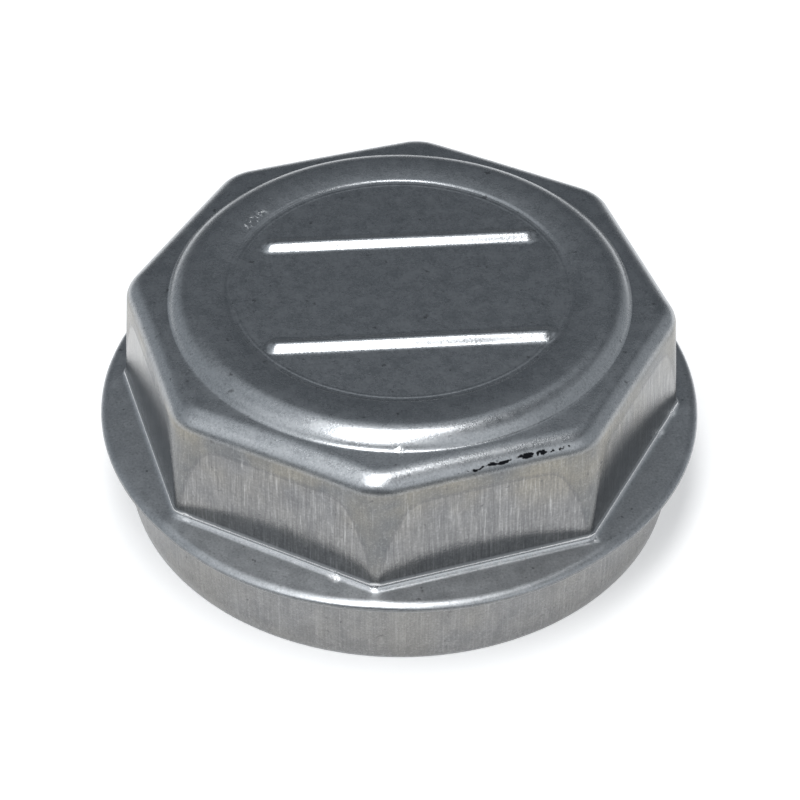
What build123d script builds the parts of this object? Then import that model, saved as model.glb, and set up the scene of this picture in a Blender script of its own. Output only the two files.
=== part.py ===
"""Octagonal press-in hub cap, deep drawn from one sheet of zinc-plated steel.

Sizes are in millimetres. The cap stands on its open rim at z = 0 with its axis on Z,
and two opposite corners of the octagon lie on the Y axis.
"""

import os
from math import acos, cos, radians, sin, sqrt, tan

from build123d import *

# Sheet
sheet = 1.0

# Round skirt that is pressed into the hub
skirt_radius = 50.9
lead_length = 2.4  # height of the lead-in at the open rim
lead_taper = 0.4  # how far the lead-in draws in

# Flange, the sheet folded out and back on itself, which stops the cap at the hub's face
flange_width = 4.1  # beyond the skirt
flange_top = 17.6
fold_gap = 0.2  # between the two layers of the fold

# Octagonal head
head_step = 3.7  # from the skirt in to the flats, at the flange
head_draft = 3.0  # degrees
head_top = 40.4
corner_radius = 12.0
shoulder_radius = 3.0
foot_radius = 1.2  # bend from the flange to the head

# Round raised ring on the head, and the dish inside it
ring_step = 6.0  # from the flats in to the ring's foot
slope_width = 4.4  # from the ring's foot in to its crest
brow_width = 5.9  # from the crest in to the dish
ring_rise = 2.4
dish_depth = 0.6

# Two stiffening ribs pressed up from the dish
rib_turn = 9.0  # degrees from the X axis
rib_offset = -2.5  # the pair sits a little off centre
rib_clearance = 1.8  # from the ribs' ends to the dish's edge
rib_width = 3.8
rib_spacing = 28.0
rib_height = 1.0
rib_taper = 40.0  # degrees

flange_radius = skirt_radius + flange_width
rim_radius = sheet + fold_gap / 2
flange_under = flange_top - 2 * rim_radius
fold_seam = flange_top - sheet
flat_distance = skirt_radius - head_step
ring_radius = flat_distance - ring_step
crest_radius = ring_radius - slope_width
dish_radius = crest_radius - brow_width
crest_top = head_top + ring_rise
dish_top = crest_top - dish_depth
rib_distance = rib_spacing / 2 + abs(rib_offset)
rib_length = 2 * sqrt((dish_radius - rib_clearance) ** 2 - rib_distance**2)


def skirt_outside():
    """Half section inside the outer face of the skirt and the folded flange."""
    rim_centre = flange_radius - rim_radius
    rim_pull = 4 / 3 * rim_radius  # makes the curve of the fold a half circle
    with BuildSketch(Plane.XZ) as profile:
        with BuildLine():
            Polyline(
                (rim_centre, flange_top),
                (0, flange_top),
                (0, 0),
                (skirt_radius - lead_taper, 0),
                (skirt_radius, lead_length),
                (skirt_radius, flange_under),
                (rim_centre, flange_under),
            )
            Bezier(
                (rim_centre, flange_under),
                (rim_centre + rim_pull, flange_under),
                (rim_centre + rim_pull, flange_top),
                (rim_centre, flange_top),
            )
        make_face()
    return profile.sketch


def skirt_inside():
    """Half section of the hollow inside the skirt, which runs out between the layers of the fold."""
    wall = skirt_radius - sheet
    with BuildSketch(Plane.XZ) as profile:
        with BuildLine():
            Polyline(
                (0, fold_seam),
                (0, 0),
                (wall - lead_taper, 0),
                (wall, lead_length),
                (wall, fold_seam - fold_gap),
                (flange_radius - sheet, fold_seam - fold_gap),
                (flange_radius - sheet, fold_seam),
                close=True,
            )
        make_face()
    return profile.sketch


def ring_outside():
    """Half section inside the outer face of the raised ring and the dish."""
    foot = (ring_radius, head_top)
    crest = (crest_radius, crest_top)
    dish_edge = (dish_radius, dish_top)
    with BuildSketch(Plane.XZ) as profile:
        with BuildLine():
            Polyline(dish_edge, (0, dish_top), (0, flange_top), (ring_radius, flange_top), foot)
            TangentArc(crest, foot, tangent=(1, 0))
            Line(crest, dish_edge)
        make_face()
    return profile.sketch


def ring_inside():
    """Half section of the hollow under the raised ring and the dish, in straight stretches."""
    inner_radius = (slope_width**2 + ring_rise**2) / (2 * ring_rise) - sheet
    turn = acos(1 - ring_rise / inner_radius)
    knee_run = inner_radius * sin(turn / 2)
    knee_drop = inner_radius * (1 - cos(turn / 2))
    foot_run = inner_radius * sin(turn)
    with BuildSketch(Plane.XZ) as profile:
        with BuildLine():
            Polyline(
                (0, dish_top - sheet),
                (0, flange_top),
                (crest_radius + foot_run, flange_top),
                (crest_radius + foot_run, head_top - sheet),
                (crest_radius + knee_run, crest_top - sheet - knee_drop),
                (crest_radius, crest_top - sheet),
                (dish_radius, dish_top - sheet),
                close=True,
            )
        make_face()
    return profile.sketch


def head_form(inset, ring):
    """Solid inside the outer face of the head, or inside its inner face when drawn in by sheet."""
    draft = radians(head_draft)
    half_flats = flat_distance + (flange_top - flange_under) * tan(draft) - inset / cos(draft)
    head_level = head_top - inset
    rib_slope = radians(rib_taper)
    rib_trim = 2 * inset * (1 - sin(rib_slope)) / cos(rib_slope)
    with BuildPart() as head:
        with BuildSketch(Plane.XY.offset(flange_under)) as outline:
            RegularPolygon(half_flats, 8, major_radius=False)
            fillet(outline.vertices(), corner_radius - inset)
        extrude(amount=head_level - flange_under, taper=head_draft)
        shoulder = head.edges().filter_by_position(Axis.Z, head_level, head_level)
        fillet(shoulder, shoulder_radius - inset)
        revolve(ring, Axis.Z)
        with BuildSketch(Plane.XY.offset(dish_top - inset)):
            with Locations(Location((0, 0, 0), (0, 0, rib_turn))):
                with Locations((0, rib_offset)):
                    with GridLocations(0, rib_spacing, 1, 2):
                        SlotOverall(rib_length - rib_trim, rib_width - rib_trim)
        extrude(amount=rib_height, taper=rib_taper)
    return head.part


with BuildPart() as hollow:
    revolve(skirt_inside(), Axis.Z)
    add(head_form(sheet, ring_inside()))

with BuildPart() as hub_cap:
    revolve(skirt_outside(), Axis.Z)
    add(head_form(0, ring_outside()))
    foot = hub_cap.edges().filter_by_position(Axis.Z, flange_top, flange_top).sort_by(SortBy.LENGTH)
    fillet(foot[:-1], foot_radius)
    add(hollow.part, mode=Mode.SUBTRACT)

hub_cap.part.label = "hub_cap"

os.makedirs("parts", exist_ok=True)
export_step(hub_cap.part, "parts/hub_cap.step")
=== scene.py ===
"""Looks of the pressed hub cap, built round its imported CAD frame."""
from collections import namedtuple
from math import acos, atan2, cos, pi, radians, sin, sqrt, tan

import bpy
import numpy as np
from mathutils import Matrix, Vector


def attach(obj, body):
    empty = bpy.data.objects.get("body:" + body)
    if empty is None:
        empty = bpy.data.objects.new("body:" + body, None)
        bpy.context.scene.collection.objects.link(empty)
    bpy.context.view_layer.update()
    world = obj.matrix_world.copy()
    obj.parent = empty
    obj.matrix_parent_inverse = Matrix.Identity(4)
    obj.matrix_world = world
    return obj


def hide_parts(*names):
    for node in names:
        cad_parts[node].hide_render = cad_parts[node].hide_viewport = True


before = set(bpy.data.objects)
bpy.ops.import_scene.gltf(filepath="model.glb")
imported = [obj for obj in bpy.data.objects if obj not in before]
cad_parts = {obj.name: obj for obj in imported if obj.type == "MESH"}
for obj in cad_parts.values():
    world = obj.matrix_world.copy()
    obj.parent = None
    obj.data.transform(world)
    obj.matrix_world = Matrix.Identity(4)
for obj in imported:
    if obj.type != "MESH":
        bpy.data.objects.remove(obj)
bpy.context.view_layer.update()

MM = 0.001
scene = bpy.context.scene

# The cap's form, in millimetres, as in the CAD solid
SHEET = 1.0
SKIRT_RADIUS = 50.9
LEAD_LENGTH = 2.4  # height of the lead-in at the open rim
LEAD_TAPER = 0.4  # how far the lead-in draws in
FLANGE_RADIUS = 55.0
FLANGE_TOP = 17.6
FOLD_GAP = 0.2  # between the two layers of the fold
HEAD_FLATS = 94.4  # across the flats, at the flange
HEAD_TOP = 40.4
RING_RADIUS = 41.2
CREST_RADIUS = 36.8
DISH_RADIUS = 30.9
RING_RISE = 2.4
DISH_DEPTH = 0.6
RIB_TURN = radians(9.0)
RIB_WIDTH = 3.8
RIB_SPACING = 28.0
RIB_HEIGHT = 1.0

SECTOR = radians(22.5)  # from a corner of the octagon to the middle of a flat
FLANGE_UNDER = FLANGE_TOP - 2 * SHEET - FOLD_GAP
FOLD_SEAM = FLANGE_TOP - SHEET
CREST_TOP = HEAD_TOP + RING_RISE
DISH_TOP = CREST_TOP - DISH_DEPTH

# The two ribs, a little further back and longer than in the CAD solid
RIB_OFFSET = -1.2  # across the ribs
RIB_SHIFT = 0.9  # along the ribs
RIB_LENGTH = 50.6
RIB_CURVE = 1.4  # power of their rounded section
INNER_RIB = 0.8  # share of their width on the inside of the sheet

# What drawing the sheet adds to that form
WALL_DRAFT = tan(radians(3.0))
FOOT_CORNER = 2.2  # radius of the octagon's corners at the flange
TOP_CORNER = 10.0  # and at the top
CORNER_GROWTH = 1.15  # power of their growth up the wall
LEAST_CORNER = 0.8  # on the inside of the sheet
SHOULDER_IN = 4.3  # the shoulder's bend, inwards and downwards
SHOULDER_DOWN = 3.6
INNER_SHOULDER = 0.7  # share of the sheet by which the inner bend is narrower
FOOT_BEND = 1.3  # from the flange to the head
INNER_BEND = 1.2  # the same on the inside
LEDGE_FALL = 0.04  # slope of the ledge round the ring
FLANGE_FALL = 0.085  # slope of the flange
RIM_WIDTH = 2.0  # of the flange's rounded edge
DISH_STEP = 0.18  # from the brow down to the dish
DISH_PLAIN = 1.6  # from the dish's edge in to its plain floor
DISH_EDGE = 0.5  # from the dish's edge in to where a rib may start
SKIRT_BEND = 0.12  # from the flange's underside to the skirt
LEAD_CREASE = 0.03  # where the lead-in starts
EDGE_BREAK = 0.22  # at both edges of the open rim
SLIT_END = 0.5  # from the flange's rounded edge in to the end of the slit
SLIT_RISE = 0.12  # of the slit's upper face from its end to its mouth

# Small bends of the sheet: at the ring's foot as distance out and lift, at the slit as distance out and drop
RING_FOOT = ((-0.10, 0.21), (0.05, 0.08), (0.22, 0.02), (0.45, 0.0))
SLIT_MOUTH = ((0.0, 0.6), (0.2, 0.15), (0.7, 0.0))

# Fine rings that the tool left round the dish's edge, as distance from the edge and lift
TOOL_MARKS = ((-1.35, 0.0), (-1.15, 0.05), (-0.95, 0.0), (-0.55, 0.0), (-0.38, 0.05), (-0.2, 0.0))

# The flange's edge isn't quite true after drawing: depth of its waves, then lobes, share and phase of each
RIM_WAVE = 0.12
RIM_LOBES = ((3, 0.55, 0.6), (7, 0.45, 2.1))

# The burnished zone of each flat, which narrows up the wall as if beside ever larger corners
TOP_EASE = 24.0  # radius of those corners at the top
EASE_GROWTH = 1.9  # power of their growth up the wall
ZONE_ROUND = 1.1
ZONE_MARGIN = 1.9  # from the shoulder's bend down to the zone
OFF_FLAT = -5.0  # stands for any place away from the flats

# Rows of the mesh over the dish, the brow, the ring's slope, the shoulder and the wall
OUTSIDE_ROWS = (60, 12, 15, 16, 26)
INSIDE_ROWS = (52, 6, 8, 8, 9)
FOOT_ROWS = 7
RIM_ROWS = 17
INNER_FOOT_ROWS = 6
CROWN_RADIUS = 0.5  # of the first row round the middle
SLOPE_SPAN = (0.06, 0.93)  # part of the slope's arc above the bend at its foot
LEDGE_STEPS = (0.3, 0.65)
FLANGE_STEPS = (0.3, 0.6, 0.85)
SLIT_STEPS = (0.35, 0.7)
UNDER_RADII = (52.3, 51.8, 51.3)
SKIRT_LEVELS = (FLANGE_UNDER - 0.4, 12.5, 9.5, 6.5, 4.2, LEAD_LENGTH + 0.5)
LEAD_LEVELS = (LEAD_LENGTH, 1.6, 0.8, 0.25)
INNER_LEVELS = (5.0, 8.0, 11.0, 14.0)

# Noises of the finish: squeeze along the cap's axis, scale, detail and roughness
FINE_MARKS = (0.016, 2600.0, 3.0, 0.7)
BROAD_MARKS = (0.05, 520.0, 3.0, 0.6)
MOTTLE = (1.0, 330.0, 6.0, 0.68)
PATCHES = (1.0, 75.0, 3.0, 0.5)
GRAIN = (1.0, 2500.0, 3.0, 0.75)
BLOTS = (1.0, 540.0, 3.0, 0.6)
RAGGED = (0.3, 420.0, 5.0, 0.72)
DRIFT = (1.0, 160.0, 2.0, 0.55)
TORN = (1.0, 1300.0, 2.0, 0.6)
NOISE_SPAN = (0.3, 0.7)  # most of a noise lies within this

# Colours of the plating from its darker to its paler patches, and where the mottle is each; the wall's bare and
# burnished colours are also painted shade, darker than the top's
TOP_PATCHES = (0.34, 0.68)
TOP_COLOURS = ((0.43, 0.445, 0.46, 1), (0.485, 0.50, 0.515, 1))
WALL_PATCHES = (0.36, 0.66)
BARE_SHADED_COLOURS = ((0.165, 0.172, 0.178, 1), (0.24, 0.242, 0.24, 1))
BURNISHED_SHADED_COLOURS = ((0.225, 0.227, 0.23, 1), (0.303, 0.302, 0.30, 1))

# Layers over it: where a noise gives none and all of the layer, its share at either end of a factor, its colour
Layer = namedtuple("Layer", "span share colour")
STAIN = Layer((0.42, 0.66), (0.20, 0.80), (0.335, 0.31, 0.255, 1))  # low and high on the wall
DARK_MARK = Layer((0.44, 0.64), (0.26, 0.48), (0.13, 0.13, 0.135, 1))  # off the flats and on them
BRIGHT_MARK = Layer((0.42, 0.28), (0.22, 0.44), (0.60, 0.60, 0.60, 1))  # off the flats and on them
SPECK = Layer((0.53, 0.70), (0.50, 0.50), (0.17, 0.17, 0.175, 1))
GLINT = Layer((0.47, 0.30), (0.42, 0.16), (0.74, 0.74, 0.75, 1))  # on top and on the wall
BLOT = Layer((0.67, 0.73), (0.60, 0.60), (0.10, 0.10, 0.105, 1))

# Places of the finish, each as where its mask is 0 and where it is 1: by tilt, by zone, and by height in metres
UPRIGHT_TILT = (0.62, 0.18)
FLAT_SPAN = (-0.45, 0.1)
SKIRT_SPAN = (0.0160, 0.0150)
STAIN_SPAN = (0.027, 0.036)
FLANGE_SPAN = (0.0181, 0.0177)
# The zone's edge carries a painted shade line, a dark band just outside each flat's zone
ZONE_EDGE = ((-0.75, -0.1), (0.25, 0.0))
ZONE_EDGE_SHADE_SHARE = 0.35
ZONE_EDGE_SHADE_COLOUR = (0.12, 0.122, 0.13, 1)
FOOT_SPAN = ((0.0178, 0.0180), (0.0192, 0.0188))
# The foot bend is smoother, and its pale colour is a painted highlight
FOOT_HIGHLIGHT_SHARE = 0.7
FOOT_HIGHLIGHT_COLOUR = (0.72, 0.725, 0.73, 1)

# Roughness of the sheet, and what each place adds to it
SATIN_ROUGH = (0.24, 0.31)
LOOSE_ROUGH = (0.22, 0.32)
BROAD_ROUGH = (0.09, 0.15)
FINE_ROUGH = (-0.03, 0.05)
FLANGE_ROUGH = (0.0, 0.07)
FOOT_ROUGH = -0.12
SCUFF_ROUGH = 0.3

# Relief of the finish
GRAIN_RELIEF = 0.9
MARK_RELIEF = 1.3
MOTTLE_RELIEF = 0.35
WEAR_AND_SPARKLE_RELIEF = 3.0
RELIEF_DEPTH = 0.00003
RELIEF_STRENGTH = 0.7

# Dark scuff on the front right shoulder, in metres
SCUFF_LEVEL = 0.0389
SCUFF_OUT = (0.0438, 0.0442)  # from the cap's axis
SCUFF_ENDS = ((-0.006, -0.0045), (0.0178, 0.0165))  # along the flat
SCUFF_HEAVY = ((0.006, 0.010), (0.0150, 0.0125))  # along the flat, where it is thicker
SCUFF_RAGGED = (0.34, 0.58)
SCUFF_HALF = (-0.0005, 0.00032)  # half its thickness
SCUFF_MORE = 0.00015  # added where it is thicker
SCUFF_DRIFT = 0.0003
SCUFF_FADE = (0.0, 0.00012)
SCUFF_COLOUR = (0.012, 0.013, 0.016, 1)

# Bright wear at the nicks and painted highlights at the sparks: where its mask is 0 and 1 by closeness and by the
# torn noise, then places in millimetres with reach
WEAR_AND_SPARKLE = {
    "nick": ((0.0, 0.5), (0.50, 0.56), (
        (-29.2, 14.2, 42.5, 0.9), (-28.4, 16.4, 42.5, 1.3), (-27.0, 18.6, 42.5, 1.2))),
    "spark": ((0.05, 0.6), (0.36, 0.50), (
        (3.3, -40.9, 40.5, 0.8), (-7.2, -48.7, 17.8, 1.2), (50.0, -2.6, 17.9, 1.3), (48.1, -8.4, 17.9, 1.0),
        (-34.0, -36.8, 17.9, 1.2), (0.0, -50.6, 17.9, 1.2), (37.0, -36.0, 17.9, 1.0))),
}
WORN_AND_SPARKLE_COLOUR = (0.95, 0.95, 0.95, 1)

# White ground, in metres
GROUND_HALF = 3.0  # half its width
GROUND_COLOUR = (0.80, 0.80, 0.80, 1)
GROUND_GLOW = 0.43

# The photograph's viewing angle: turn from the front, rise over the ground, distance, roll and aim
CAMERA_TURN = radians(4.34)
CAMERA_RISE = radians(43.38)
CAMERA_AWAY = 0.4406
CAMERA_ROLL = 0.00673
AIM_ASIDE = 0.000135
AIM_HEIGHT = 0.01483
SENSOR_WIDTH = 36.0
LENS = 104.47
CLIP_START = 0.01

# What the soft box faces
LAMP_AIM = Vector((0, 0, 0.03))

# Room: colours, and the directions in which each starts and is full
ROOM_COLOUR = (0.116, 0.129, 0.144, 1)
CEILING_COLOUR = (0.50, 0.535, 0.57, 1)
CEILING_WAY = (0.02, -0.12, 1.0)
CEILING_SPAN = (0.63, 0.78)
GAP_X = (-0.02, 0.12)  # gap in the ceiling
GAP_Y = (0.55, 0.30)
HORIZON_COLOUR = (0.20, 0.212, 0.225, 1)
HORIZON_SPAN = (0.34, 0.05)
LEFT_COLOUR = (0.38, 0.41, 0.44, 1)
LEFT_SPAN = (-0.50, -0.74)
RIGHT_COLOUR = (0.38, 0.405, 0.43, 1)
RIGHT_SPAN = (0.48, 0.68)
PANELS = (((-0.55, -0.48, 0.68), 0.90), ((0.47, -0.55, 0.69), 0.80))  # direction and strength
PANEL_TINT = (0.96, 1.0, 1.04)
PANEL_SPAN = (0.89, 0.97)

# Directions round the cap from its front corner, closest together at the octagon's corners
STEPS = 20
CROWDING = 1.7
half = SECTOR * (np.arange(STEPS + 1) / STEPS) ** CROWDING
sector = np.concatenate([half, 2 * SECTOR - half[-2:0:-1]])
theta = np.concatenate([sector + 2 * SECTOR * k for k in range(8)])
corner_angle = np.abs((theta + SECTOR) % (2 * SECTOR) - SECTOR)
COLUMNS = len(theta)


def octagon(apothem, corner):
    """Distance from the axis to a rounded octagon in every direction."""
    flat = apothem / np.cos(SECTOR - corner_angle)
    middle = (apothem - corner) / cos(SECTOR)
    across = middle * np.sin(corner_angle)
    arc = middle * np.cos(corner_angle) + np.sqrt(np.maximum(corner**2 - across**2, 0))
    tangent = atan2((apothem - corner) * tan(SECTOR), apothem)
    return np.where(SECTOR - corner_angle > tangent, arc, flat)


def rise_at(height):
    """How far up the wall a height is, from 0 to 1."""
    return min(max((height - FLANGE_TOP) / (HEAD_TOP - FLANGE_TOP), 0.0), 1.0)


def flat_distance(height):
    """Distance from the axis to the flats at a height."""
    return HEAD_FLATS / 2 - (height - FLANGE_TOP) * WALL_DRAFT


def wall_outline(height, inset):
    """Distance from the axis to the wall in every direction, drawn in by inset."""
    corner = FOOT_CORNER + (TOP_CORNER - FOOT_CORNER) * rise_at(height) ** CORNER_GROWTH
    return octagon(flat_distance(height) - inset, max(corner - inset, LEAST_CORNER))


def plain(radius, height):
    """A row of the sheet away from the flats."""
    return np.broadcast_to(radius, COLUMNS), np.broadcast_to(height, COLUMNS), np.full(COLUMNS, OFF_FLAT)


def wall_row(height, inset):
    """A row of the octagonal wall, with how far inside the burnished zone of its flat each point is."""
    apothem = flat_distance(height)
    ease = FOOT_CORNER + (TOP_EASE - FOOT_CORNER) * rise_at(height) ** EASE_GROWTH
    beside = (apothem - ease) * tan(SECTOR) - apothem * np.tan(SECTOR - corner_angle)
    above = HEAD_TOP - SHOULDER_DOWN - ZONE_MARGIN - height
    zone = -ZONE_ROUND * np.log(np.exp(-beside / ZONE_ROUND) + np.exp(-above / ZONE_ROUND))
    return wall_outline(height, inset), np.full(COLUMNS, height), zone


def arc_radius(run, rise):
    """Radius of an arc that is level at one end and gains a rise over a run."""
    return (run**2 + rise**2) / (2 * rise)


def bends(count, turn):
    """Angles of evenly spaced rows round a bend."""
    return np.linspace(0.0, 1.0, count) * turn


def head_rows(inset):
    """Rows of the head from its crown out to the foot of its wall, drawn in by inset."""
    dish_rows, brow_rows, slope_rows, bend_rows, wall_rows = INSIDE_ROWS if inset else OUTSIDE_ROWS
    top = HEAD_TOP - inset
    crest = CREST_TOP - inset
    dish = DISH_TOP - inset
    rows = []
    for radius in np.linspace(CROWN_RADIUS, DISH_RADIUS - DISH_PLAIN, dish_rows):
        rows.append(plain(radius, dish))
    for out, lift in TOOL_MARKS:
        rows.append(plain(DISH_RADIUS + out, dish + lift))

    brow_run = CREST_RADIUS - DISH_RADIUS
    brow_radius = arc_radius(brow_run, DISH_DEPTH - DISH_STEP)
    for back in brow_run * (1 - np.linspace(0.0, 1.0, brow_rows)):
        drop = brow_radius - sqrt(brow_radius**2 - back**2)
        rows.append(plain(CREST_RADIUS - back, crest - drop))

    slope_radius = arc_radius(RING_RADIUS - CREST_RADIUS, RING_RISE) - inset
    turn = acos(1 - RING_RISE / slope_radius)
    for bend in turn * np.linspace(*SLOPE_SPAN, slope_rows):
        rows.append(plain(CREST_RADIUS + slope_radius * sin(bend), crest - slope_radius * (1 - cos(bend))))
    foot = CREST_RADIUS + slope_radius * sin(turn)
    for out, lift in RING_FOOT:
        rows.append(plain(foot + out, top + lift))

    shoulder_in = SHOULDER_IN - INNER_SHOULDER * inset
    base = HEAD_TOP - SHOULDER_DOWN
    inner = foot + RING_FOOT[-1][0]
    edge = wall_outline(base, inset + shoulder_in)
    ledge = top - LEDGE_FALL * np.maximum(edge - inner, 0)
    for step in LEDGE_STEPS:
        rows.append(plain(inner + (edge - inner) * step, top + (ledge - top) * step))
    for bend in bends(bend_rows, pi / 2):
        outline = wall_outline(base, inset + shoulder_in * (1 - sin(bend)))
        rows.append(plain(outline, ledge + (base - ledge) * (1 - cos(bend))))

    wall_foot = FLANGE_TOP if inset else FLANGE_TOP + FOOT_BEND
    for height in np.linspace(base, wall_foot, wall_rows)[1:]:
        rows.append(wall_row(height, inset))
    return rows


def rim_wave():
    """How far the flange's edge is drawn in, in every direction."""
    wave = 1.0
    for lobes, share, phase in RIM_LOBES:
        wave = wave + share * np.sin(lobes * theta + phase)
    return RIM_WAVE * wave


def flange_rows():
    """Rows of the bend at the head's foot, the flange, its rounded edge and its underside."""
    rows = []
    foot = wall_outline(FLANGE_TOP + FOOT_BEND, 0)
    for bend in bends(FOOT_ROWS, pi / 2)[1:]:
        rows.append(plain(foot + FOOT_BEND * (1 - cos(bend)), FLANGE_TOP + FOOT_BEND * (1 - sin(bend))))
    inner = rows[-1][0]
    rim = FLANGE_RADIUS - RIM_WIDTH - rim_wave()
    fall = FLANGE_FALL * (rim - inner)
    for step in FLANGE_STEPS:
        rows.append(plain(inner + (rim - inner) * step, FLANGE_TOP - fall * step))
    depth = (FLANGE_TOP - fall - FLANGE_UNDER) / 2
    for bend in bends(RIM_ROWS, pi):
        rows.append(plain(rim + RIM_WIDTH * sin(bend), FLANGE_UNDER + depth * (1 + cos(bend))))
    for radius in UNDER_RADII:
        rows.append(plain(radius, FLANGE_UNDER))
    return rows


def lead_in(radius, height):
    """Radius of the skirt's lead-in at a height."""
    return radius - LEAD_TAPER * (1 - height / LEAD_LENGTH)


def skirt_rows():
    """Rows down the skirt's outside, round its open rim and up its inside."""
    inside = SKIRT_RADIUS - SHEET
    rows = [plain(SKIRT_RADIUS + SKIRT_BEND, FLANGE_UNDER - SKIRT_BEND)]
    for height in SKIRT_LEVELS:
        rows.append(plain(SKIRT_RADIUS, height))
    for height in LEAD_LEVELS:
        rows.append(plain(lead_in(SKIRT_RADIUS - LEAD_CREASE, height), height))
    rows.append(plain(SKIRT_RADIUS - LEAD_TAPER - EDGE_BREAK, 0.0))
    rows.append(plain(inside - LEAD_TAPER + EDGE_BREAK, 0.0))
    for height in LEAD_LEVELS[::-1]:
        rows.append(plain(lead_in(inside, height), height))
    for height in INNER_LEVELS:
        rows.append(plain(inside, height))
    return rows


def slit_rows(wall):
    """Rows from the skirt's inside out between the layers of the fold, and back to the foot of the inner wall."""
    inside = SKIRT_RADIUS - SHEET
    floor = FOLD_SEAM - FOLD_GAP
    end = FLANGE_RADIUS - RIM_WIDTH - SLIT_END
    rows = []
    for out, drop in SLIT_MOUTH:
        rows.append(plain(inside + out, floor - drop))
    for height in (floor, FOLD_SEAM - SLIT_RISE):
        rows.append(plain(end, height))
    for step in SLIT_STEPS:
        rows.append(plain(end + (wall + INNER_BEND - end) * step, FOLD_SEAM - SLIT_RISE * (1 - step)))
    for bend in bends(INNER_FOOT_ROWS, pi / 2):
        rows.append(plain(wall + INNER_BEND * (1 - sin(bend)), FOLD_SEAM + INNER_BEND * (1 - cos(bend))))
    return rows


def cap_rows():
    """Rows of the whole sheet, from the outside of the crown round the open rim to the inside."""
    hollow = head_rows(SHEET)[::-1]
    wall = hollow[0][0]
    return head_rows(0) + flange_rows() + skirt_rows() + slit_rows(wall) + hollow[1:]


def rib_lift(x, y, width):
    """Height of the two pressed ribs above the dish."""
    along = x * cos(RIB_TURN) + y * sin(RIB_TURN) - RIB_SHIFT
    across = -x * sin(RIB_TURN) + y * cos(RIB_TURN) - RIB_OFFSET
    reach = (RIB_LENGTH - RIB_WIDTH) / 2
    over = np.maximum(np.abs(along) - reach, 0)
    lift = np.zeros_like(x)
    for side in (-0.5, 0.5):
        distance = np.hypot(over, across - side * RIB_SPACING)
        lift = np.maximum(lift, np.clip(1 - (2 * distance / width) ** 2, 0, 1) ** RIB_CURVE)
    return RIB_HEIGHT * lift


def cap_faces(count):
    """Quads between the rows, and a fan that closes the crown outside and inside."""
    faces = []
    following = [(column + 1) % COLUMNS for column in range(COLUMNS)]
    last = (count - 1) * COLUMNS
    for start in range(0, last, COLUMNS):
        below = start + COLUMNS
        for column, after in enumerate(following):
            faces.append((start + column, below + column, below + after, start + after))
    outside_crown = count * COLUMNS
    inside_crown = outside_crown + 1
    for column, after in enumerate(following):
        faces.append((outside_crown, column, after))
        faces.append((inside_crown, last + after, last + column))
    return faces


def closeness(points, spots):
    """How near each point is to the closest of some spots, from 1 at a spot to 0 at its reach."""
    mask = np.zeros(len(points))
    for *place, reach in spots:
        distance = np.linalg.norm(points - place, axis=1)
        mask = np.maximum(mask, np.clip(1 - distance / reach, 0, 1))
    return mask


def set_values(mesh, name, values):
    """A number at every point of a mesh, for its material."""
    mesh.attributes.new(name, "FLOAT", "POINT").data.foreach_set("value", values)


def build_cap():
    """The whole sheet as one closed mesh."""
    rows = cap_rows()
    count = len(rows)
    radius, z, zone = (np.array(values) for values in zip(*rows))
    x = radius * np.cos(theta - pi / 2)
    y = radius * np.sin(theta - pi / 2)
    inside = np.arange(count)[:, None] > count // 2
    lift = np.where(inside, rib_lift(x, y, RIB_WIDTH * INNER_RIB), rib_lift(x, y, RIB_WIDTH))
    z = z + np.where(radius < DISH_RADIUS - DISH_EDGE, lift, 0.0)
    crowns = [(0, 0, DISH_TOP), (0, 0, DISH_TOP - SHEET)]
    points = np.concatenate([np.stack([x, y, z], axis=-1).reshape(-1, 3), crowns])
    mesh = bpy.data.meshes.new("hub_cap_sheet")
    mesh.from_pydata((points * MM).tolist(), [], cap_faces(count))
    mesh.update()
    mesh.polygons.foreach_set("use_smooth", np.ones(len(mesh.polygons), bool))
    set_values(mesh, "flat_zone", np.append(zone, [OFF_FLAT] * len(crowns)))
    for name, (_, _, spots) in WEAR_AND_SPARKLE.items():
        set_values(mesh, name, closeness(points, spots))
    cap = bpy.data.objects.new("hub_cap_sheet", mesh)
    scene.collection.objects.link(cap)
    return cap


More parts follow.
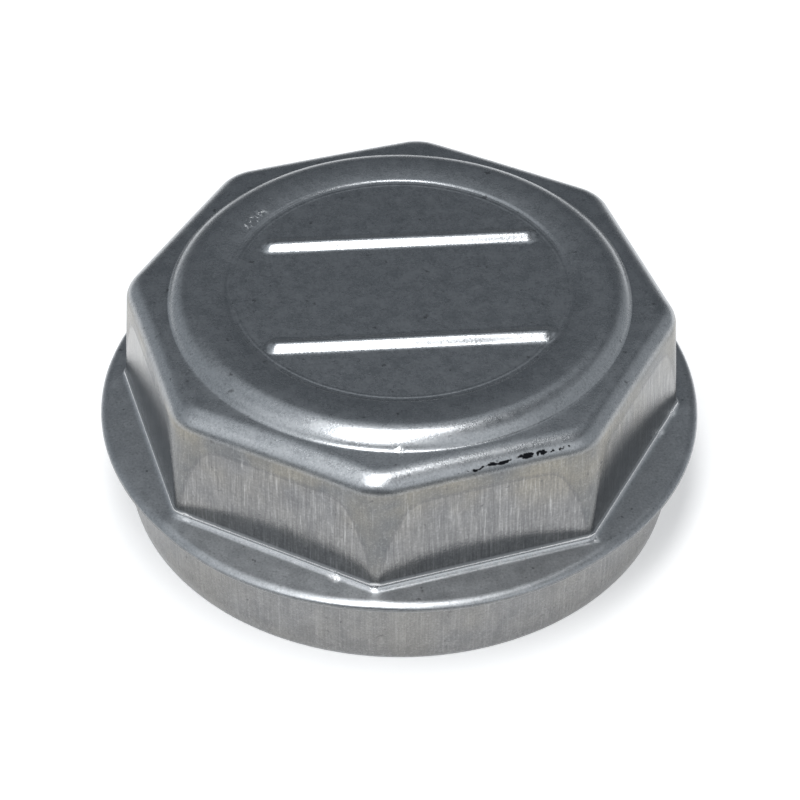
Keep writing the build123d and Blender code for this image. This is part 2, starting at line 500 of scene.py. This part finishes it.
class Nodes:
    """Short hand for building the node tree of a material or a world."""

    def __init__(self, owner):
        owner.use_nodes = True
        self.tree = owner.node_tree
        self.tree.nodes.clear()

    def add(self, kind, inputs=None, **settings):
        node = self.tree.nodes.new(kind)
        for key, value in settings.items():
            setattr(node, key, value)
        for key, value in (inputs or {}).items():
            socket = node.inputs[key]
            if hasattr(value, "is_output"):
                self.tree.links.new(value, socket)
            else:
                socket.default_value = value
        return node

    def attribute(self, name):
        return self.add("ShaderNodeAttribute", attribute_name=name).outputs["Fac"]

    def noise(self, vector, squeeze, scale, detail, rough):
        if squeeze != 1.0:
            mapping = self.add("ShaderNodeMapping", {"Vector": vector, "Scale": (1.0, 1.0, squeeze)})
            vector = mapping.outputs["Vector"]
        inputs = {"Vector": vector, "Scale": scale, "Detail": detail, "Roughness": rough}
        return self.add("ShaderNodeTexNoise", inputs).outputs["Fac"]

    def along(self, vector, direction):
        node = self.add("ShaderNodeVectorMath", {0: vector, 1: direction}, operation="DOT_PRODUCT")
        return node.outputs["Value"]

    def math(self, operation, a, b=0.0):
        return self.add("ShaderNodeMath", {0: a, 1: b}, operation=operation).outputs[0]

    def times(self, a, b):
        return self.math("MULTIPLY", a, b)

    def plus(self, a, b):
        return self.math("ADD", a, b)

    def span(self, value, low, high, to_low=0.0, to_high=1.0):
        """Number that goes from to_low to to_high as a value goes from low to high, and no further."""
        inputs = {"Value": value, "From Min": low, "From Max": high, "To Min": to_low, "To Max": to_high}
        return self.add("ShaderNodeMapRange", inputs).outputs["Result"]

    def between(self, factor, a, b):
        """Number that goes from a to b with a factor."""
        return self.span(factor, 0.0, 1.0, a, b)

    def window(self, value, rise, fall):
        """Mask from a rise to a fall, each as where the mask is 0 and where it is 1."""
        return self.times(self.span(value, *rise), self.span(value, *fall))

    def mix(self, factor, a, b):
        return self.add("ShaderNodeMix", {0: factor, 6: a, 7: b}, data_type="RGBA").outputs[2]

    def cover(self, colour, layer, noise, factor, place=1.0):
        """Colour with a layer over it."""
        mask = self.times(self.span(noise, *layer.span), self.between(factor, *layer.share))
        return self.mix(self.times(mask, place), colour, layer.colour)


def scuff_mask(n, where, level):
    """Ragged scuff along the shoulder of the front right flat."""
    out = n.along(where, (sin(SECTOR), -cos(SECTOR), 0))
    along = n.along(where, (cos(SECTOR), sin(SECTOR), 0))
    half_thick = n.span(n.noise(where, *RAGGED), *SCUFF_RAGGED, *SCUFF_HALF)
    half_thick = n.plus(half_thick, n.times(n.window(along, *SCUFF_HEAVY), SCUFF_MORE))
    drift = n.span(n.noise(where, *DRIFT), *NOISE_SPAN, -SCUFF_DRIFT, SCUFF_DRIFT)
    away = n.math("ABSOLUTE", n.plus(n.math("SUBTRACT", level, SCUFF_LEVEL), drift))
    scuff = n.span(n.math("SUBTRACT", half_thick, away), *SCUFF_FADE)
    return n.times(scuff, n.times(n.window(along, *SCUFF_ENDS), n.span(out, *SCUFF_OUT)))


def wear_and_sparkle_mask(n, where):
    """Small bright places: where the plating is bruised at the nicks, and painted highlights at the sparks."""
    torn = n.noise(where, *TORN)
    worn_and_sparkle = 0.0
    for name, (close, ragged, _) in WEAR_AND_SPARKLE.items():
        worn_and_sparkle = n.math("MAXIMUM", worn_and_sparkle, n.times(n.span(n.attribute(name), *close), n.span(torn, *ragged)))
    return worn_and_sparkle


def zinc_plate():
    """Zinc-plated drawn sheet: satin grain on top, upright draw marks and a warm tarnish on the walls; the walls'
    darker colour is partly painted shade, with a painted shade line at the edge of each flat's zone, a painted
    highlight along the foot bend and painted highlights at the sparks.
    """
    material = bpy.data.materials.new("zinc_plate")
    n = Nodes(material)
    where = n.add("ShaderNodeTexCoord").outputs["Object"]
    normal = n.add("ShaderNodeNewGeometry").outputs["Normal"]
    level = n.add("ShaderNodeSeparateXYZ", {0: where}).outputs["Z"]
    tilt = n.add("ShaderNodeSeparateXYZ", {0: normal}).outputs["Z"]
    upright = n.span(n.math("ABSOLUTE", tilt), *UPRIGHT_TILT)
    zone = n.attribute("flat_zone")
    flat = n.span(zone, *FLAT_SPAN)
    foot = n.window(level, *FOOT_SPAN)
    scuff = scuff_mask(n, where, level)
    worn_and_sparkle = wear_and_sparkle_mask(n, where)
    fine_marks = n.noise(where, *FINE_MARKS)
    broad_marks = n.noise(where, *BROAD_MARKS)
    mottle = n.noise(where, *MOTTLE)
    grain = n.noise(where, *GRAIN)

    patches = n.span(mottle, *WALL_PATCHES)
    bare = n.mix(patches, *BARE_SHADED_COLOURS)
    burnished = n.mix(patches, *BURNISHED_SHADED_COLOURS)
    side = n.mix(n.math("MAXIMUM", flat, n.span(level, *SKIRT_SPAN)), bare, burnished)
    side = n.cover(side, STAIN, n.noise(where, *PATCHES), n.span(level, *STAIN_SPAN))
    # Painted shade line along the edge of each flat's zone
    side = n.mix(n.times(n.window(zone, *ZONE_EDGE), ZONE_EDGE_SHADE_SHARE), side, ZONE_EDGE_SHADE_COLOUR)
    # Painted shade: the upright wall and skirt take darker colours than the top, beside their real bare and
    # burnished patches
    colour = n.mix(upright, n.mix(n.span(mottle, *TOP_PATCHES), *TOP_COLOURS), side)
    colour = n.cover(colour, DARK_MARK, fine_marks, flat, upright)
    colour = n.cover(colour, BRIGHT_MARK, fine_marks, flat, upright)
    colour = n.cover(colour, SPECK, grain, upright)
    colour = n.cover(colour, GLINT, grain, upright)
    colour = n.cover(colour, BLOT, n.noise(where, *BLOTS), upright)
    colour = n.mix(scuff, colour, SCUFF_COLOUR)
    # Bright wear at the nicks, painted highlights at the sparks
    colour = n.mix(worn_and_sparkle, colour, WORN_AND_SPARKLE_COLOUR)
    # Painted highlight along the foot bend
    colour = n.mix(n.times(foot, FOOT_HIGHLIGHT_SHARE), colour, FOOT_HIGHLIGHT_COLOUR)

    satin = n.span(mottle, *NOISE_SPAN, *SATIN_ROUGH)
    satin = n.plus(satin, n.span(level, *FLANGE_SPAN, *FLANGE_ROUGH))
    drawn = n.span(broad_marks, *NOISE_SPAN, *BROAD_ROUGH)
    drawn = n.plus(drawn, n.span(fine_marks, *NOISE_SPAN, *FINE_ROUGH))
    loose = n.span(mottle, *NOISE_SPAN, *LOOSE_ROUGH)
    rough = n.between(upright, satin, n.between(flat, loose, drawn))
    rough = n.plus(rough, n.times(foot, FOOT_ROUGH))
    rough = n.plus(rough, n.times(scuff, SCUFF_ROUGH))

    relief = n.plus(n.times(grain, GRAIN_RELIEF), n.times(n.times(fine_marks, upright), MARK_RELIEF))
    relief = n.plus(relief, n.times(mottle, MOTTLE_RELIEF))
    relief = n.plus(relief, n.times(worn_and_sparkle, WEAR_AND_SPARKLE_RELIEF))
    bump = n.add("ShaderNodeBump", {"Height": relief, "Distance": RELIEF_DEPTH, "Strength": RELIEF_STRENGTH})
    shader = n.add("ShaderNodeBsdfPrincipled", {
        "Base Color": colour, "Roughness": rough, "Normal": bump.outputs["Normal"], "Metallic": 1.0})
    n.add("ShaderNodeOutputMaterial", {"Surface": shader.outputs[0]})
    return material


def paper():
    """White ground that keeps the cap's shadow."""
    material = bpy.data.materials.new("white_ground")
    n = Nodes(material)
    path = n.add("ShaderNodeLightPath")
    seen = n.math("MAXIMUM", path.outputs["Is Camera Ray"], path.outputs["Is Glossy Ray"])
    seen = n.math("MAXIMUM", seen, path.outputs["Is Transmission Ray"])
    matt = n.add("ShaderNodeBsdfDiffuse", {"Color": GROUND_COLOUR})
    glow = n.add("ShaderNodeEmission", {"Color": (1, 1, 1, 1), "Strength": n.times(seen, GROUND_GLOW)})
    both = n.add("ShaderNodeAddShader", {0: matt.outputs[0], 1: glow.outputs[0]})
    n.add("ShaderNodeOutputMaterial", {"Surface": both.outputs[0]})
    return material


def build_floor():
    """Flat white ground under the cap."""
    mesh = bpy.data.meshes.new("ground")
    corners = [(GROUND_HALF * x, GROUND_HALF * y, 0) for x, y in ((-1, -1), (1, -1), (1, 1), (-1, 1))]
    mesh.from_pydata(corners, [], [(0, 1, 2, 3)])
    mesh.materials.append(paper())
    floor = bpy.data.objects.new("ground", mesh)
    scene.collection.objects.link(floor)
    return floor


def place_camera():
    """Camera at the photograph's viewing angle."""
    aim = Vector((AIM_ASIDE * cos(CAMERA_TURN), AIM_ASIDE * sin(CAMERA_TURN), AIM_HEIGHT))
    level = cos(CAMERA_RISE)
    place = Vector((sin(CAMERA_TURN) * level, -cos(CAMERA_TURN) * level, sin(CAMERA_RISE))) * CAMERA_AWAY
    back = (place - aim).normalized()
    right = Vector((0, 0, 1)).cross(back).normalized()
    up = back.cross(right)
    side = right * cos(CAMERA_ROLL) + up * sin(CAMERA_ROLL)
    top = up * cos(CAMERA_ROLL) - right * sin(CAMERA_ROLL)
    data = bpy.data.cameras.new("camera")
    data.sensor_fit = "HORIZONTAL"
    data.sensor_width = SENSOR_WIDTH
    data.lens = LENS
    data.clip_start = CLIP_START
    camera = bpy.data.objects.new("camera", data)
    camera.matrix_world = Matrix.Translation(place) @ Matrix((side, top, back)).transposed().to_4x4()
    scene.collection.objects.link(camera)
    scene.camera = camera


def area_lamp(name, azimuth, tilt, distance, width, depth, power):
    """Soft box that faces the cap from a tilt off the vertical, towards an azimuth."""
    a = radians(azimuth)
    t = radians(tilt)
    way = Vector((sin(a) * sin(t), -cos(a) * sin(t), cos(t)))
    data = bpy.data.lights.new(name, "AREA")
    data.shape = "RECTANGLE"
    data.size = width
    data.size_y = depth
    data.energy = power
    lamp = bpy.data.objects.new(name, data)
    lamp.location = LAMP_AIM + way * distance
    lamp.rotation_euler = way.to_track_quat("Z", "Y").to_euler()
    scene.collection.objects.link(lamp)


def studio():
    """Dim room with a pale ceiling, pale side walls and two pale panels at the front."""
    world = bpy.data.worlds.new("studio")
    n = Nodes(world)
    view = n.add("ShaderNodeTexCoord").outputs["Generated"]
    way = n.add("ShaderNodeSeparateXYZ", {0: view}).outputs
    gap = n.times(n.span(way["X"], *GAP_X), n.span(way["Y"], *GAP_Y))
    ceiling = n.math("SUBTRACT", n.span(n.along(view, CEILING_WAY), *CEILING_SPAN), gap)
    colour = n.mix(ceiling, ROOM_COLOUR, CEILING_COLOUR)
    colour = n.mix(n.span(way["Z"], *HORIZON_SPAN), colour, HORIZON_COLOUR)
    colour = n.mix(n.span(way["X"], *LEFT_SPAN), colour, LEFT_COLOUR)
    colour = n.mix(n.span(way["X"], *RIGHT_SPAN), colour, RIGHT_COLOUR)
    for direction, strength in PANELS:
        facing = n.along(view, Vector(direction).normalized())
        panel = [tint * strength for tint in PANEL_TINT] + [1]
        colour = n.mix(n.span(facing, *PANEL_SPAN), colour, panel)
    shade = n.add("ShaderNodeBackground", {"Color": colour, "Strength": 1.0})
    n.add("ShaderNodeOutputWorld", {"Surface": shade.outputs[0]})
    scene.world = world


def light():
    """Soft studio light."""
    area_lamp("soft_box", azimuth=-14.0, tilt=16.0, distance=0.8, width=0.22, depth=0.75, power=4.0)
    studio()
    scene.view_settings.view_transform = "Standard"


cap = build_cap()
cap.data.materials.append(zinc_plate())
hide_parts("hub_cap")
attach(cap, "root")
build_floor()
place_camera()
light()
